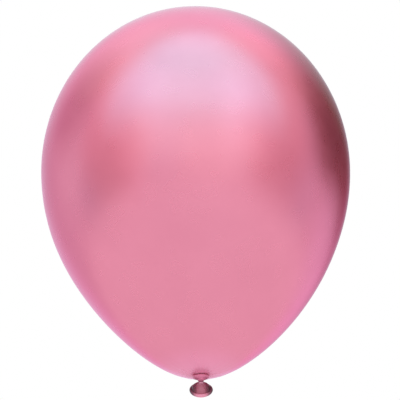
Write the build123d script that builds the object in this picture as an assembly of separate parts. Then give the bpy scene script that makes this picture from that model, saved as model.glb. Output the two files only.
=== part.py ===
from build123d import *
from math import atan2, cos, degrees, pi, radians, sin
import os

os.makedirs("parts", exist_ok=True)

# An inflated, knotted latex balloon, in millimetres.
# +Z runs up the balloon's axis, from the knot to the crown, and the tail is bent back towards +Y.
# The origin is on that axis at the underside of the knot, where a ribbon is tied.

# Balloon body
body_width = 280.0        # widest diameter
crown_rise = 152.8        # from the widest line up to the crown
crown_radius = 130.0      # how round the top of the crown is
belly_drop = 197.7        # from the widest line down to the pole at the knot
belly_taper = 0.244       # how much the belly narrows more than an ellipse would
tip_taper = 0.039         # a little more of it close to the pole
belly_stations = 8        # equal steps along the belly's curve
film = 0.4                # wall of the body; the stretched latex itself is far thinner

# Knot
knot_width = 14.8
knot_depth = 11.0
knot_side = 2.1           # height of the loop's upright side
knot_underside = 1.2      # further drop of its sloping underside
knot_edge = 0.7           # rounding of its upper edge
knot_clearance = 0.8      # from the top of the knot up to the pole
bight_radius = 3.3        # the strand that the loop grips
bight_below = 0.6         # how far it shows under the loop
bight_edge = 0.4

# Throat: the gathered film between the knot and the body, rounded at both ends about its pivot
throat_radius = 2.2
throat_dome = 3.4
socket_gap = 0.15         # running gap round every rounded end
throat_pivot_rise = 0.35  # pivot above the top of the knot

# Pinched neck below the knot, bent back on a small radius
neck_radius = 2.5
neck_bend_radius = 2.8
neck_bend = 56.0          # degrees back from straight down
neck_start_rise = 0.7     # where the bend begins, above the underside of the knot

# Tail: a gathered ring, the flared skirt and the rolled rim round its mouth
ring_thickness = 0.55
ring_back = 1.0           # along the tail's axis from its pivot to the ring's edge
skirt_root_thickness = 0.6
skirt_back = 1.6          # from the pivot to the edge of the skirt's root
skirt_floor = 4.2         # from the pivot to the bottom of the skirt's hollow
hollow_floor_radius = 2.8
mouth_start = 6.6         # from the pivot to the straight lip
mouth_end = 8.8           # from the pivot to the end of the lip
mouth_radius = 8.0        # clear radius of the mouth
lip_thickness = 0.6
bead_radius = 1.6         # thickness of the rolled rim, halved
bead_centre_radius = 8.95
bead_station = 8.0        # from the pivot to the middle of the rolled rim

# Levels up the axis
loop_bottom = bight_below
loop_top = loop_bottom + knot_underside + knot_side
pole_level = loop_top + knot_clearance
widest_level = pole_level + belly_drop
throat_pivot = Vector(0, 0, loop_top + throat_pivot_rise)

# Frame of the tail: its pivot at the end of the neck's bend, its axis out of the mouth
tail_pivot = Vector(
    0,
    neck_bend_radius * (1 - cos(radians(neck_bend))),
    neck_start_rise - neck_bend_radius * sin(radians(neck_bend)),
)
tail_axis = Vector(0, sin(radians(neck_bend)), -cos(radians(neck_bend)))
tail_frame = Plane(origin=tail_pivot, x_dir=(1, 0, 0), z_dir=tail_axis)


def ball(radius, centre=Vector(0, 0, 0)):
    return Pos(*centre) * Sphere(radius)


def turned(*edges):
    """Turn a closed outline, drawn as radius and height, about the Z axis."""
    return revolve(Plane.XZ * make_face(list(edges)), Axis.Z)


def body_form(inset):
    """The body's outer form, or the same form moved inwards by a wall."""
    radius = body_width / 2 - inset
    top = widest_level + crown_rise - inset
    crown_centre = top - (crown_radius - inset)
    rise = crown_centre - widest_level

    # A flatter arc leaves the widest line upright and runs smoothly into the round crown
    side_radius = (radius**2 + rise**2 - (crown_radius - inset) ** 2) / (2 * (radius - crown_radius + inset))
    side_turn = degrees(atan2(rise, side_radius - radius))
    side = CenterArc((radius - side_radius, widest_level), side_radius, 0, side_turn)
    crown = CenterArc((0, crown_centre), crown_radius - inset, side_turn, 90 - side_turn)

    drop = belly_drop - inset
    belly = []
    for station in range(belly_stations + 1):
        turn = pi / 2 * station / belly_stations
        depth = sin(turn)
        width = cos(turn) * (1 - belly_taper * depth**2 - tip_taper * depth**4)
        belly.append((radius * width, widest_level - drop * depth))
    underside = Spline(*belly, tangents=[(0, -1), (-1, 0)])
    axis_line = Line((0, widest_level - drop), (0, top))
    return turned(*side.edges(), *crown.edges(), *axis_line.edges(), *underside.edges())


# Body: one sealed film with a small hollow at its pole for the top of the throat
hollow_radius = throat_dome + socket_gap
outside = body_form(0) - ball(hollow_radius, throat_pivot)
inside = body_form(film) - ball(hollow_radius + film, throat_pivot)
envelope = outside - inside

# Throat: a gathered stub with a ball below and a dome above, both about the same pivot
throat_stub = Pos(*throat_pivot) * Cylinder(
    throat_radius, throat_dome, align=(Align.CENTER, Align.CENTER, Align.MIN)
)
throat = (throat_stub & ball(throat_dome, throat_pivot)) + ball(throat_radius, throat_pivot)

# Neck: the gathered film bent back under the knot, with a rounded end for the tail to turn on
bend_axis = Axis((0, neck_bend_radius, neck_start_rise), (1, 0, 0))
neck_section = Plane.XY.offset(neck_start_rise) * Circle(neck_radius)
neck_stem = revolve(neck_section, bend_axis, neck_bend)
neck_stem += ball(neck_radius, tail_pivot)

# Knot: an oval loop of film drawn tight round the strand that passes through it
half_width = knot_width / 2
loop_profile = [
    (bight_radius, loop_bottom),
    (half_width, loop_bottom + knot_underside),
    (half_width, loop_top),
    (0, loop_top),
    (0, loop_bottom),
    (bight_radius, loop_bottom),
]
loop_disc = turned(*Polyline(*loop_profile).edges())
loop_disc = fillet(loop_disc.edges().filter_by(GeomType.CIRCLE).group_by(Axis.Z)[-1], knot_edge)
loop_disc = scale(loop_disc, by=(1, knot_depth / knot_width, 1))
strand_hole = Cylinder(bight_radius, 4 * loop_top)
knot_loop = loop_disc - strand_hole

bight = Cylinder(bight_radius, loop_top, align=(Align.CENTER, Align.CENTER, Align.MIN))
bight = chamfer(bight.edges().group_by(Axis.Z)[0], bight_edge)
knot_bight = bight - ball(throat_radius + socket_gap, throat_pivot) - neck_stem

# Ring: the gathers where the tail starts to open, a cup round the end of the neck
ring_inner = neck_radius + socket_gap
ring_outer = ring_inner + ring_thickness
beyond_ring = Pos(0, 0, ring_back) * Cylinder(
    ring_outer, ring_outer, align=(Align.CENTER, Align.CENTER, Align.MIN)
)
tail_ring = (ball(ring_outer) - ball(ring_inner)) & beyond_ring

# Skirt: a bell of unstretched film that grows out of the ring and ends in a straight lip
root_inner = ring_outer + socket_gap
root_outer = root_inner + skirt_root_thickness
root_radius = (root_outer**2 - skirt_back**2) ** 0.5
lip_radius = mouth_radius + lip_thickness
bell_outside = turned(
    *Spline((root_radius, skirt_back), (lip_radius, mouth_start), tangents=[(1, 0.6), (0, 1)]).edges(),
    *Polyline(
        (lip_radius, mouth_start), (lip_radius, mouth_end), (0, mouth_end),
        (0, skirt_back), (root_radius, skirt_back),
    ).edges(),
)
bell_hollow = turned(
    *Spline(
        (hollow_floor_radius, skirt_floor), (mouth_radius, mouth_start), tangents=[(1, 0.3), (0, 1)]
    ).edges(),
    *Polyline(
        (mouth_radius, mouth_start), (mouth_radius, mouth_end), (0, mouth_end),
        (0, skirt_floor), (hollow_floor_radius, skirt_floor),
    ).edges(),
)
tail_skirt = bell_outside - bell_hollow - ball(root_inner)

# Rolled rim: a bead of rolled-up film that sits round the outside of the lip
bead = Pos(0, 0, bead_station) * Torus(bead_centre_radius, bead_radius)
rolled_rim = bead - Cylinder(lip_radius, 4 * mouth_end)

nodes = {
    "envelope": envelope,
    "throat": throat,
    "knot_loop": knot_loop,
    "knot_bight": knot_bight,
    "neck_stem": neck_stem,
    "tail_ring": tail_frame.location * tail_ring,
    "tail_skirt": tail_frame.location * tail_skirt,
    "rolled_rim": tail_frame.location * rolled_rim,
}
for name, solid in nodes.items():
    export_step(solid, f"parts/{name}.step")
    box = solid.bounding_box()
    print(name, round(solid.volume, 1), len(solid.solids()), box.min, box.max)
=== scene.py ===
from math import cos, exp, pi, radians, sin

import bpy
from mathutils import Matrix, Vector


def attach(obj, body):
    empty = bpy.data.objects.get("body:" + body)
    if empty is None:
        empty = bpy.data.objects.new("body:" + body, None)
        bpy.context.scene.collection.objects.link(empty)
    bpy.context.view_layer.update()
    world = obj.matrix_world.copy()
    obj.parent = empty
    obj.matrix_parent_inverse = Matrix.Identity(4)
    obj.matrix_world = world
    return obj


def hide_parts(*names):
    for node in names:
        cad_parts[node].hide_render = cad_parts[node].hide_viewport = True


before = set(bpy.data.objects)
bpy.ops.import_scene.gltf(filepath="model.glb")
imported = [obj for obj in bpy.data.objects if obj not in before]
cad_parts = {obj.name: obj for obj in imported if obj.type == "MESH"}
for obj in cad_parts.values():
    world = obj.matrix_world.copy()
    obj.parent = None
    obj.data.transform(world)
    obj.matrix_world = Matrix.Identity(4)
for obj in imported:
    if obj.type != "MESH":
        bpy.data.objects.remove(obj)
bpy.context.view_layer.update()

# An inflated, knotted latex balloon, seen from the front and a little below.
# Sizes below are in millimetres unless they say otherwise; MM turns them into the scene's metres.

MM = 0.001

# Body of the balloon: its widest line, the crown above it and the belly down to the pole
BODY_RADIUS = 140.0
CROWN_RISE = 152.8
BELLY_DROP = 197.7
BELLY_TAPER = 0.244
TIP_TAPER = 0.039
POLE_LEVEL = 4.7
WIDEST_LEVEL = POLE_LEVEL + BELLY_DROP
BODY_OFFSET = 2.2         # how far the body sits to one side of the knot
OFFSET_START = 30.0       # above the pole, where the body starts to drift aside
OFFSET_END = 150.0        # and where it has drifted all the way
GATHER_FADE = 9.0         # how fast the pleats at the pole fade with height
PLEAT_DEPTH = 0.12
PLEATS = 26

# Levels and sizes at the knot
LOOP_WIDTH = 14.8
LOOP_DEPTH = 11.0
THROAT_PIVOT = Vector((0, 0, 4.25))
THROAT_RADIUS = 2.2
THROAT_DOME = 3.4
POLE_HOLLOW = THROAT_DOME + 0.15
NECK_RADIUS = 2.5
NECK_BEND_RADIUS = 2.8
NECK_BEND = radians(56.0)
NECK_START = 0.7

# The tail, measured along its own axis from its pivot
RING_INNER = 2.65
RING_OUTER = 3.2
SKIRT_ROOT = 3.35
MOUTH_RADIUS = 8.0
LIP_THICKNESS = 0.6
BEAD_RADIUS = 1.6
BEAD_CENTRE_RADIUS = 8.95
BEAD_STATION = 8.0

tail_pivot = Vector((
    0,
    NECK_BEND_RADIUS * (1 - cos(NECK_BEND)),
    NECK_START - NECK_BEND_RADIUS * sin(NECK_BEND),
))
tail_axis = Vector((0, sin(NECK_BEND), -cos(NECK_BEND)))
tail_side = Vector((1, 0, 0))
tail_up = Vector((0, cos(NECK_BEND), sin(NECK_BEND)))


# ---------------------------------------------------------------- mesh helpers

def smooth_step(low, high, value):
    t = min(1.0, max(0.0, (value - low) / (high - low)))
    return t * t * (3 - 2 * t)


def mix(a, b, share):
    return a + (b - a) * share


def grid_piece(name, point, rows, columns, close_first=False, close_last=False, loop_rows=False):
    """A mesh of rows running round the piece; point(row share, turn) gives each corner in mm.

    A closed first or last row shrinks to one middle point; loop_rows joins the last row to the first.
    """
    corners = []
    for i in range(rows):
        share = i / rows if loop_rows else i / (rows - 1)
        for j in range(columns):
            corners.append(Vector(point(share, 2 * pi * j / columns)) * MM)
    faces = []
    for i in range(rows if loop_rows else rows - 1):
        here = i * columns
        there = (i + 1) % rows * columns
        for j in range(columns):
            k = (j + 1) % columns
            faces.append((here + j, here + k, there + k, there + j))
    for closed, start in ((close_first, 0), (close_last, (rows - 1) * columns)):
        if closed:
            ring = corners[start:start + columns]
            middle = sum(ring, Vector()) / columns
            corners.append(middle)
            hub = len(corners) - 1
            for j in range(columns):
                k = (j + 1) % columns
                a, b = start + j, start + k
                faces.append((a, hub, b) if start == 0 else (b, hub, a))
    mesh = bpy.data.meshes.new(name)
    mesh.from_pydata(corners, [], faces)
    mesh.update()
    mesh.polygons.foreach_set("use_smooth", [True] * len(mesh.polygons))
    piece = bpy.data.objects.new(name, mesh)
    bpy.context.collection.objects.link(piece)
    return piece


def profile_point(profile, share):
    """A point on a smooth path through (radius, station) pairs, by share of its length."""
    spans = len(profile) - 1
    at = min(share * spans, spans - 1e-9)
    i = int(at)
    t = at - i
    p0 = profile[max(i - 1, 0)]
    p1, p2 = profile[i], profile[i + 1]
    p3 = profile[min(i + 2, spans)]
    out = []
    for a, b, c, d in zip(p0, p1, p2, p3):
        out.append(0.5 * (2 * b + (c - a) * t + (2 * a - 5 * b + 4 * c - d) * t**2
                          + (3 * b - a - 3 * c + d) * t**3))
    return out


def creases(turn, marks):
    """Depth, 0 to 1, of narrow folds at the marked turns; each mark is (degrees, width, depth)."""
    total = 0.0
    for degrees, width, depth in marks:
        away = (turn - radians(degrees) + pi) % (2 * pi) - pi
        total += depth * exp(-(away / radians(width)) ** 2)
    return total


def on_tail(side, up, station):
    """A point given across, up and along the tail, as a point of the whole object."""
    return tail_pivot + tail_side * side + tail_up * up + tail_axis * station


# ---------------------------------------------------------------- materials

def new_material(name):
    material = bpy.data.materials.new(name)
    material.use_nodes = True
    tree = material.node_tree
    shader = tree.nodes["Principled BSDF"]
    return material, tree, shader


def add_node(tree, kind, **inputs):
    """A node with the named inputs set."""
    node = tree.nodes.new(kind)
    for key, value in inputs.items():
        node.inputs[key].default_value = value
    return node


def colour_ramp(tree, factor, stops):
    """A colour that goes through (place, colour) stops as the factor rises from 0 to 1."""
    ramp = tree.nodes.new("ShaderNodeValToRGB")
    elements = ramp.color_ramp.elements
    while len(elements) < len(stops):
        elements.new(0.5)
    for element, (place, colour) in zip(elements, stops):
        element.position = place
        element.color = (*colour, 1.0)
    tree.links.new(factor, ramp.inputs["Fac"])
    return ramp.outputs["Color"]


def map_range(tree, value, low, high, to_low=0.0, to_high=1.0):
    """The value carried smoothly from one range to another, and held at its ends."""
    node = tree.nodes.new("ShaderNodeMapRange")
    node.interpolation_type = "SMOOTHSTEP"
    node.inputs["From Min"].default_value = low
    node.inputs["From Max"].default_value = high
    node.inputs["To Min"].default_value = to_low
    node.inputs["To Max"].default_value = to_high
    tree.links.new(value, node.inputs["Value"])
    return node.outputs["Result"]


def multiply(tree, first, second):
    """The product of two colours."""
    node = tree.nodes.new("ShaderNodeMix")
    node.data_type = "RGBA"
    node.blend_type = "MULTIPLY"
    node.inputs["Factor"].default_value = 1.0
    tree.links.new(first, node.inputs["A"])
    tree.links.new(second, node.inputs["B"])
    return node.outputs["Result"]


WHITE = (1.0, 1.0, 1.0)
STRETCHED_PINK = (0.87, 0.255, 0.37)
POLE_PINK = (0.90, 0.27, 0.43)
CLOUD_SHADE = (0.96, 0.94, 0.95)

# Stretched film: pearly pink with faint clouds, paler and less pearly close to the knot
body_latex, tree, shader = new_material("stretched_latex")
place = tree.nodes.new("ShaderNodeTexCoord").outputs["Object"]
height = tree.nodes.new("ShaderNodeSeparateXYZ")
tree.links.new(place, height.inputs["Vector"])
height = height.outputs["Z"]
thickness = colour_ramp(
    tree,
    map_range(tree, height, 0.004, 0.022),
    [(0.0, POLE_PINK), (1.0, STRETCHED_PINK)],
)
clouds = add_node(tree, "ShaderNodeTexNoise", Scale=22.0, Detail=4.0, Roughness=0.55)
tree.links.new(place, clouds.inputs["Vector"])
cloud_tint = colour_ramp(tree, clouds.outputs["Fac"], [(0.3, CLOUD_SHADE), (0.7, WHITE)])
tree.links.new(multiply(tree, thickness, cloud_tint), shader.inputs["Base Color"])
polish = add_node(tree, "ShaderNodeTexNoise", Scale=60.0, Detail=2.0, Roughness=0.5)
tree.links.new(place, polish.inputs["Vector"])
tree.links.new(map_range(tree, polish.outputs["Fac"], 0.3, 0.7, 0.27, 0.30), shader.inputs["Roughness"])
tree.links.new(map_range(tree, height, 0.004, 0.02, 0.30, 0.92), shader.inputs["Metallic"])
shader.inputs["Specular Tint"].default_value = (0.85, 0.6, 0.7, 1.0)
shader.inputs["Coat Weight"].default_value = 0.08
shader.inputs["Coat Roughness"].default_value = 0.18
shader.inputs["Coat IOR"].default_value = 1.5


def unstretched_film(name, colours, metallic, across="X"):
    """The thicker, duller, finely wrinkled film of the knot and tail.

    Its colour goes through (distance in mm, colour) stops away from zero on one axis; the stops mix the
    film's own colour with painted shade and painted reflection.
    """
    material, tree, shader = new_material(name)
    place = tree.nodes.new("ShaderNodeTexCoord").outputs["Object"]
    axes = tree.nodes.new("ShaderNodeSeparateXYZ")
    tree.links.new(place, axes.inputs["Vector"])
    away = tree.nodes.new("ShaderNodeMath")
    away.operation = "ABSOLUTE"
    tree.links.new(axes.outputs[across], away.inputs[0])
    reach = colours[-1][0]
    share = tree.nodes.new("ShaderNodeMath")
    share.operation = "DIVIDE"
    share.inputs[1].default_value = reach * MM
    tree.links.new(away.outputs["Value"], share.inputs[0])
    # Colour by distance from the middle: the film's own colour, darkened by painted shade and painted
    # reflection
    colour_with_painted_shade = colour_ramp(tree, share.outputs["Value"], [(mm / reach, colour) for mm, colour in colours])
    mottle = add_node(tree, "ShaderNodeTexNoise", Scale=450.0, Detail=5.0, Roughness=0.6)
    tree.links.new(place, mottle.inputs["Vector"])
    mottle = mottle.outputs["Fac"]
    patches = colour_ramp(tree, mottle, [(0.3, (0.84, 0.78, 0.80)), (0.65, WHITE)])
    tree.links.new(multiply(tree, colour_with_painted_shade, patches), shader.inputs["Base Color"])
    tree.links.new(map_range(tree, mottle, 0.3, 0.7, 0.34, 0.5), shader.inputs["Roughness"])
    wrinkles = add_node(tree, "ShaderNodeTexNoise", Scale=1500.0, Detail=3.0, Roughness=0.55)
    tree.links.new(place, wrinkles.inputs["Vector"])
    wrinkle_bump = add_node(tree, "ShaderNodeBump", Strength=0.2, Distance=0.0002)
    tree.links.new(wrinkles.outputs["Fac"], wrinkle_bump.inputs["Height"])
    tree.links.new(wrinkle_bump.outputs["Normal"], shader.inputs["Normal"])
    shader.inputs["Metallic"].default_value = metallic
    shader.inputs["Coat Weight"].default_value = 0.3
    shader.inputs["Coat Roughness"].default_value = 0.25
    return material


# The band, ring, skirt and rim change colour from the middle to the sides, the neck from its pinch down.
# Their darker sides are partly the film's own colour and partly painted shade and painted reflection, and
# the neck's dark pinch is painted shadow.
LIGHT_PINK = (0.95, 0.36, 0.50)
# Band: darker towards its sides, partly its own colour and partly painted shade
band_latex = unstretched_film(
    "band_latex",
    [(0, (0.80, 0.19, 0.34)), (8, (0.66, 0.14, 0.26))],
    metallic=0.5,
)
# Neck: the near-black stop at its pinch is painted shadow
strand_latex = unstretched_film(
    "strand_latex",
    [(0, (0.60, 0.12, 0.22)), (1.9, (0.22, 0.03, 0.07)), (2.5, LIGHT_PINK)],
    metallic=0.4,
    across="Z",
)
# Ring: darker towards its sides, partly its own colour and partly painted shade
ring_latex = unstretched_film(
    "ring_latex",
    [(0, LIGHT_PINK), (3.2, (0.80, 0.26, 0.38))],
    metallic=0.3,
)
# Skirt: deep rose film whose darker sides are partly its own colour and partly painted shade and painted
# reflection
skirt_latex = unstretched_film(
    "skirt_latex",
    [
        (0, (0.50, 0.125, 0.19)), (3.4, (0.44, 0.10, 0.16)),
        (4.6, (0.24, 0.04, 0.075)), (8.0, (0.08, 0.03, 0.04)),
    ],
    metallic=0.6,
)
# Rim: its darker sides are partly its own colour and partly painted shade and painted reflection
rim_latex = unstretched_film(
    "rim_latex",
    [
        (0, (0.90, 0.28, 0.42)), (4.0, (0.84, 0.26, 0.38)),
        (7.5, (0.26, 0.08, 0.12)), (10.5, (0.09, 0.035, 0.05)),
    ],
    metallic=0.4,
)

# Floor: pale and slightly cloudy, glowing a little so that it stays light under the balloon
floor_paint, tree, shader = new_material("pale_floor")
place = tree.nodes.new("ShaderNodeTexCoord").outputs["Object"]
clouds = add_node(tree, "ShaderNodeTexNoise", Scale=1.5, Detail=2.0)
tree.links.new(place, clouds.inputs["Vector"])
tree.links.new(
    colour_ramp(tree, clouds.outputs["Fac"], [(0.3, (0.28, 0.28, 0.28)), (0.7, (0.30, 0.30, 0.30))]),
    shader.inputs["Base Color"],
)
shader.inputs["Roughness"].default_value = 0.8
shader.inputs["Emission Color"].default_value = (*WHITE, 1.0)
distance = tree.nodes.new("ShaderNodeVectorMath")
distance.operation = "LENGTH"
tree.links.new(place, distance.inputs[0])
glow = map_range(tree, distance.outputs["Value"], 8.0, 20.0, 0.61, 0.66)
tree.links.new(glow, shader.inputs["Emission Strength"])


# ---------------------------------------------------------------- body

def body_outline(share):
    """Radius and height of the body, from the pole's hollow (0) to the crown (1)."""
    turn = mix(-pi / 2, pi / 2, share)
    depth = abs(sin(turn))
    if turn >= 0:
        return BODY_RADIUS * cos(turn), WIDEST_LEVEL + CROWN_RISE * sin(turn)
    narrowing = 1 - BELLY_TAPER * depth**2 - TIP_TAPER * depth**4
    return BODY_RADIUS * cos(turn) * narrowing, WIDEST_LEVEL - BELLY_DROP * depth


HOLLOW_SHARE = 0.02       # share of the body's rows that line the hollow at its pole
OUTLINE_START = 0.0075    # where the outline leaves the hollow's edge


def body_point(share, turn):
    """The hollow that holds the throat's dome, then the body from its pole to its crown."""
    if share < HOLLOW_SHARE:
        steep = mix(radians(4), radians(83), share / HOLLOW_SHARE)
        return (
            POLE_HOLLOW * sin(steep) * cos(turn),
            POLE_HOLLOW * sin(steep) * sin(turn),
            THROAT_PIVOT.z + POLE_HOLLOW * cos(steep),
        )
    along = (share - HOLLOW_SHARE) / (1 - HOLLOW_SHARE)
    radius, height = body_outline(mix(OUTLINE_START, 1.0, along))
    above_pole = height - POLE_LEVEL
    gather = exp(-above_pole / GATHER_FADE) * smooth_step(3.5, 7.0, radius)
    pleats = cos(PLEATS * turn) + 0.6 * cos(11 * turn + 1.3) + 0.4 * cos(17 * turn + 0.4)
    aside = BODY_OFFSET * smooth_step(OFFSET_START, OFFSET_END, above_pole)
    return radius * cos(turn) - aside, radius * sin(turn), height + PLEAT_DEPTH * gather * pleats


body = grid_piece("balloon_body", body_point, 220, 240, close_first=True, close_last=True)
body.data.materials.append(body_latex)
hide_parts("envelope")
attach(body, "body")


# ---------------------------------------------------------------- throat

def throat_point(share, turn):
    """A ball below the pivot and a domed, pleated stub above it."""
    angle = mix(-pi / 2 + 0.05, pi / 2 - 0.05, share)
    if angle < 0:
        radius, height = THROAT_RADIUS * cos(angle), THROAT_RADIUS * sin(angle)
    else:
        height = THROAT_DOME * sin(angle)
        radius = min(THROAT_RADIUS, THROAT_DOME * cos(angle))
    fold = 1 - 0.05 * (0.5 + 0.5 * cos(9 * turn)) * cos(angle)
    return radius * fold * cos(turn), radius * fold * sin(turn), THROAT_PIVOT.z + height


throat = grid_piece("throat_gathers", throat_point, 40, 90, close_first=True, close_last=True)
throat.data.materials.append(strand_latex)
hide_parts("throat")
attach(throat, "throat")


# ---------------------------------------------------------------- knot

def loop_point(share, turn):
    """The band drawn tight round the strand: flat front, upright side, sloping underside and a hole."""
    profile = [
        (2.75, 3.3), (3.2, 3.75), (4.6, 3.88), (6.6, 3.92), (7.4, 3.92), (7.6, 3.7),
        (7.5, 3.2), (7.3, 2.5), (6.6, 2.0), (4.8, 1.25), (3.3, 0.75), (2.8, 1.1),
    ]
    radius, height = profile_point(profile, share)
    outer = smooth_step(4.0, 7.0, radius)
    wrap = creases(turn, [(-52, 13, 0.7), (-118, 18, 0.5), (-150, 12, 0.4), (35, 16, 0.8), (120, 20, 0.7)])
    radius -= 0.35 * outer * wrap
    # The top edge rises at the front and dips at the corners, where the body leans over it
    crest = 0.25 * sin(turn) ** 2 - 0.45 * sin(2 * turn) ** 2
    height += crest * outer * smooth_step(2.8, 3.6, height)
    # The underside is higher at the back
    height += 0.5 * max(0.0, sin(turn)) * outer * smooth_step(3.4, 2.4, height)
    squash = mix(1.0, LOOP_DEPTH / LOOP_WIDTH, smooth_step(2.4, 3.6, radius))
    square = mix(1.0, (cos(turn) ** 4 + sin(turn) ** 4) ** -0.25, 0.8 * outer)
    return radius * square * cos(turn), radius * square * squash * sin(turn), height


knot_loop = grid_piece("knot_band", loop_point, 60, 160, loop_rows=True)
knot_loop.data.materials.append(band_latex)
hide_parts("knot_loop")
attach(knot_loop, "knot")


def bight_point(share, turn):
    """The gripped strand, which bulges out round the neck under the band."""
    profile = [
        (2.0, 2.2), (2.7, 2.6), (3.0, 2.0), (3.15, 1.0),
        (3.1, 0.45), (2.75, 0.08), (2.3, 0.1), (1.9, 0.6),
    ]
    radius, height = profile_point(profile, share)
    fold = 1 - 0.06 * (0.5 + 0.5 * cos(8 * turn + 0.6))
    return radius * fold * cos(turn), radius * fold * sin(turn), height


bight = grid_piece("knot_strand", bight_point, 36, 120, loop_rows=True)
bight.data.materials.append(band_latex)
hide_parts("knot_bight")
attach(bight, "knot")


# ---------------------------------------------------------------- neck and tail

def neck_point(share, turn):
    """The gathered neck, bent back under the knot, with a rounded end."""
    bent = 0.62
    fold = 1 - 0.09 * (0.5 + 0.5 * cos(9 * turn + 0.4)) - 0.04 * (0.5 + 0.5 * cos(4 * turn))
    if share < bent:
        angle = NECK_BEND * share / bent
        radius = NECK_RADIUS * fold
        reach = NECK_BEND_RADIUS - radius * sin(turn)
        return (
            radius * cos(turn),
            NECK_BEND_RADIUS - reach * cos(angle),
            NECK_START - reach * sin(angle),
        )
    lift = (share - bent) / (1 - bent) * (pi / 2 - 0.04)
    radius = NECK_RADIUS * cos(lift) * mix(fold, 1.0, sin(lift))
    return on_tail(radius * cos(turn), radius * sin(turn), NECK_RADIUS * sin(lift))


neck = grid_piece("pinched_neck", neck_point, 48, 120, close_first=True, close_last=True)
neck.data.materials.append(strand_latex)
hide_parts("neck_stem")
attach(neck, "knot")


def ring_point(share, turn):
    """The gathered ring that cups the end of the neck: out over its outside, back over its inside."""
    edge, middle = radians(74), radians(6)
    fold = 0.08 * (0.5 + 0.5 * cos(10 * turn + 0.9))
    if share < 0.5:
        lift = mix(edge, middle, share * 2)
        bulge = 0.12 * sin(pi * share * 2)
        radius = RING_OUTER + bulge - fold * sin(lift)
    else:
        lift = mix(middle, edge, share * 2 - 1)
        radius = mix(RING_OUTER, RING_INNER, 0.78)
    return on_tail(radius * sin(lift) * cos(turn), radius * sin(lift) * sin(turn), radius * cos(lift))


ring = grid_piece("gathered_ring", ring_point, 40, 120, loop_rows=True)
ring.data.materials.append(ring_latex)
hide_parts("tail_ring")
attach(ring, "ring")

# Folds of the skirt as (degrees, width, depth), turning about the tail's axis from +X to its upper side
SKIRT_FOLDS = [
    (-150, 8, 1.2), (-132, 6, 0.7), (-52, 5, 1.2), (-36, 6, 1.5), (-12, 8, 0.8),
    (22, 9, 0.8), (58, 10, 0.7), (95, 9, 0.8), (131, 8, 0.7), (168, 9, 0.9), (-176, 7, 0.6),
]


def skirt_point(share, turn):
    """The bell of film: out along its outside, round the lip and back down its hollow."""
    # On its front the skirt starts close under the knot, wrapped round the end of the neck
    front = smooth_step(-0.15, 1.0, -sin(turn))
    root = mix(radians(63), radians(98), front)
    root_point = (SKIRT_ROOT * sin(root), SKIRT_ROOT * cos(root))
    hood = [root_point, (mix(3.6, 3.72, front), mix(1.72, 0.5, front))]
    outside = [
        (4.5, mix(1.95, 1.5, front)), (5.5, 2.4), (6.9, 3.4), (7.95, 4.8),
        (8.5, 6.3), (8.56, 7.6), (8.56, 8.7),
    ]
    inside = [
        (8.3, 8.78), (8.04, 8.7), (8.02, 7.6), (7.9, 6.3),
        (7.0, 4.9), (5.4, 4.25), (2.9, 4.2), (0.3, 4.2),
    ]
    radius, station = profile_point(hood + outside + inside, share)
    if share < 0.5:
        # The folds run down the outside and fade at the root and the lip
        fade = smooth_step(8.3, 5.2, radius) * smooth_step(3.2, 4.6, radius)
        sunk = fade * (0.35 * creases(turn, SKIRT_FOLDS) + 0.035 * cos(31 * turn))
        radius -= sunk
        station += sunk
    return on_tail(radius * cos(turn), radius * sin(turn), station)


skirt = grid_piece("flared_skirt", skirt_point, 110, 300, close_last=True)
skirt.data.materials.append(skirt_latex)
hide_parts("tail_skirt")
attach(skirt, "tail")


def bead_point(share, turn):
    """The rolled rim: a slightly uneven bead with the edge of its last roll showing."""
    roll = 2 * pi * share
    uneven = 1 + 0.035 * sin(3 * turn + 0.5) + 0.02 * sin(7 * turn)
    # A narrow groove where the last roll ends
    seam = 0.10 * exp(-(((roll - 2.2 + pi) % (2 * pi) - pi) / 0.16) ** 2)
    radius = BEAD_RADIUS * (uneven - seam)
    across = BEAD_CENTRE_RADIUS + radius * cos(roll)
    across = max(across, MOUTH_RADIUS + LIP_THICKNESS - 0.1)
    return on_tail(across * cos(turn), across * sin(turn), BEAD_STATION - radius * sin(roll))


bead = grid_piece("rolled_bead", bead_point, 48, 240, loop_rows=True)
bead.data.materials.append(rim_latex)
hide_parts("rolled_rim")
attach(bead, "tail")


# ---------------------------------------------------------------- floor, light and camera

# Floor, in metres, far enough below not to take the camera in
FLOOR_LEVEL = -4.2
FLOOR_RADIUS = 20.0


def floor_point(share, turn):
    radius = mix(0.05, FLOOR_RADIUS, share) / MM
    return radius * cos(turn), radius * sin(turn), FLOOR_LEVEL / MM


floor = grid_piece("studio_floor", floor_point, 8, 64, close_first=True)
floor.data.materials.append(floor_paint)


def direction(azimuth, elevation):
    """A direction from the balloon: azimuth 0 is towards the front and 90 to the right."""
    a, e = radians(azimuth), radians(elevation)
    return Vector((sin(a) * cos(e), -cos(a) * cos(e), sin(e)))


world = bpy.data.worlds.new("studio")
bpy.context.scene.world = world
world.use_nodes = True
sky = world.node_tree
sky.nodes.clear()
looking = sky.nodes.new("ShaderNodeTexCoord").outputs["Generated"]
rise = sky.nodes.new("ShaderNodeSeparateXYZ")
sky.links.new(looking, rise.inputs["Vector"])
rise = rise.outputs["Z"]


def facing(azimuth, elevation):
    """How nearly the looked-at direction faces the given one, from -1 to 1."""
    towards = sky.nodes.new("ShaderNodeVectorMath")
    towards.operation = "DOT_PRODUCT"
    towards.inputs[1].default_value = direction(azimuth, elevation)
    sky.links.new(looking, towards.inputs[0])
    return towards.outputs["Value"]


def both(first, second):
    """The product of two strengths."""
    node = sky.nodes.new("ShaderNodeMath")
    node.operation = "MULTIPLY"
    sky.links.new(first, node.inputs[0])
    sky.links.new(second, node.inputs[1])
    return node.outputs["Value"]


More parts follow.
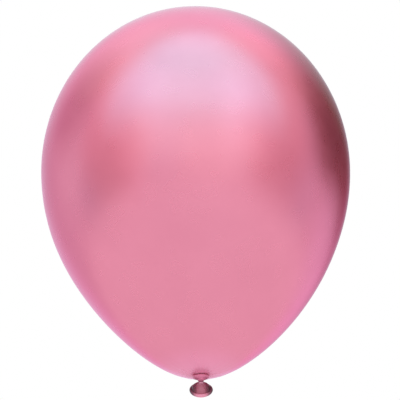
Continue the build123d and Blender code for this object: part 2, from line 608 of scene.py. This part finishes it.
def tinted_light(strength, colour):
    scaled = sky.nodes.new("ShaderNodeVectorMath")
    scaled.operation = "SCALE"
    scaled.inputs[0].default_value = colour
    sky.links.new(strength, scaled.inputs["Scale"])
    return scaled.outputs["Vector"]


def added(first, second):
    node = sky.nodes.new("ShaderNodeVectorMath")
    node.operation = "ADD"
    sky.links.new(first, node.inputs[0])
    sky.links.new(second, node.inputs[1])
    return node.outputs["Vector"]


def lobe(azimuth, elevation, inner, outer, colour, low=None, high=None):
    """A round patch, full inside the inner angle and gone at the outer one.

    A colour below zero makes it a darker patch. With low and high it also fades in between those heights.
    """
    outer, inner = cos(radians(outer)), cos(radians(inner))
    strength = map_range(sky, facing(azimuth, elevation), outer, inner)
    if low is not None:
        strength = both(strength, map_range(sky, rise, low, high))
    return tinted_light(strength, colour)


def window(left, right, low, high, soft, colour):
    """A soft-edged panel between two azimuths that fades in from one height to another."""
    strength = map_range(sky, rise, low, high)
    for inward in (left + 90, right - 90):
        strength = both(strength, map_range(sky, facing(inward, 0), -soft, soft))
    return tinted_light(strength, colour)


# Plain walls, with light panels and darker patches added to them
total = colour_ramp(
    sky,
    map_range(sky, rise, -0.36, -0.04),
    [(0.0, (0.80, 0.80, 0.80)), (1.0, (0.76, 0.77, 0.86))],
)
for light in (
    # Windows in front
    window(-44, 44, -0.30, 0.16, 0.24, (0.28, 0.57, 0.40)),
    window(-72, 72, 0.16, 0.66, 0.14, (0.11, 1.02, 0.99)),
    # Ceiling
    lobe(180, 68, 12, 50, (0.43, 0.58, 0.56)),
    lobe(0, 78, 8, 34, (-0.20, -0.14, -0.21)),
    lobe(-106, 60, 10, 32, (0.03, 0.19, 0.05)),
    lobe(80, 55, 10, 32, (0.14, 0.03, -0.09)),
    lobe(168, 44, 10, 30, (-0.11, 0.25, 0.12)),
    # Lights low on the left and behind, which edge the body
    lobe(-108, 15, 5, 24, (0.08, 0.19, 0.13)),
    lobe(-170, 18, 8, 34, (0.00, 0.22, 0.18)),
    lobe(180, -4, 15, 45, (0.26, 0.14, 0.31)),
    # Between the windows and the sides
    lobe(-62, 12, 10, 36, (0.12, -0.10, -0.18)),
    lobe(62, 12, 10, 36, (0.05, -0.16, -0.26)),
    # Dark areas behind on the right and on the left
    lobe(134, 18, 12, 46, (-0.62, -0.81, -0.92), 0.04, 0.28),
    lobe(-112, 38, 8, 26, (-0.17, -0.37, -0.33)),
    # Small differences within the windows
    lobe(0, 36, 6, 30, (-0.10, -0.21, -0.23)),
    lobe(42, 20, 6, 26, (0.11, 0.18, 0.20)),
    lobe(-75, 50, 6, 24, (0.18, 0.08, 0.02)),
    # Round the horizon
    lobe(-75, -8, 6, 30, (-0.21, -0.14, -0.14)),
    lobe(12, -8, 8, 34, (0.12, 0.13, 0.05)),
    lobe(75, -8, 6, 30, (-0.13, -0.08, -0.05)),
    lobe(135, -8, 6, 30, (0.15, 0.23, 0.28)),
):
    total = added(total, light)
DARKEST = (0.03, 0.03, 0.03)
floored = sky.nodes.new("ShaderNodeVectorMath")
floored.operation = "MAXIMUM"
floored.inputs[1].default_value = DARKEST
sky.links.new(total, floored.inputs[0])

# The balloon sees the studio; the camera sees a plain white backdrop
studio_light = sky.nodes.new("ShaderNodeBackground")
sky.links.new(floored.outputs["Vector"], studio_light.inputs["Color"])
backdrop = sky.nodes.new("ShaderNodeBackground")
backdrop.inputs["Color"].default_value = (*WHITE, 1.0)
seen = sky.nodes.new("ShaderNodeLightPath")
chosen = sky.nodes.new("ShaderNodeMixShader")
sky.links.new(seen.outputs["Is Camera Ray"], chosen.inputs["Fac"])
sky.links.new(studio_light.outputs["Background"], chosen.inputs[1])
sky.links.new(backdrop.outputs["Background"], chosen.inputs[2])
out = sky.nodes.new("ShaderNodeOutputWorld")
sky.links.new(chosen.outputs["Shader"], out.inputs["Surface"])

bpy.context.scene.view_settings.view_transform = "Standard"
bpy.context.scene.view_settings.look = "None"

# Camera: in front and below, far off with a long lens
CAMERA_ELEVATION = -22.5  # degrees
CAMERA_ROLL = radians(0.8)
LENS = 800.0
SENSOR = 36.0
VIEW_WIDTH = 0.3625       # metres across the picture at the balloon's axis
AIM_SIDE = 0.0014         # metres to the right of the knot
AIM_BELOW = 0.0250        # metres from the widest line down to the picture's middle

back = direction(0, CAMERA_ELEVATION)
picture_up = Vector((0, sin(radians(CAMERA_ELEVATION)), cos(radians(CAMERA_ELEVATION))))
aim = Vector((AIM_SIDE, 0, WIDEST_LEVEL * MM)) - picture_up * AIM_BELOW
camera_data = bpy.data.cameras.new("camera")
camera_data.lens = LENS
camera_data.sensor_width = SENSOR
camera = bpy.data.objects.new("camera", camera_data)
bpy.context.collection.objects.link(camera)
camera.location = aim + back * (VIEW_WIDTH * LENS / SENSOR)
camera.rotation_euler = (
    (-back).to_track_quat("-Z", "Y").to_matrix() @ Matrix.Rotation(-CAMERA_ROLL, 3, "Z")
).to_euler()
camera_data.clip_start = 0.05
camera_data.clip_end = 100.0
bpy.context.scene.camera = camera
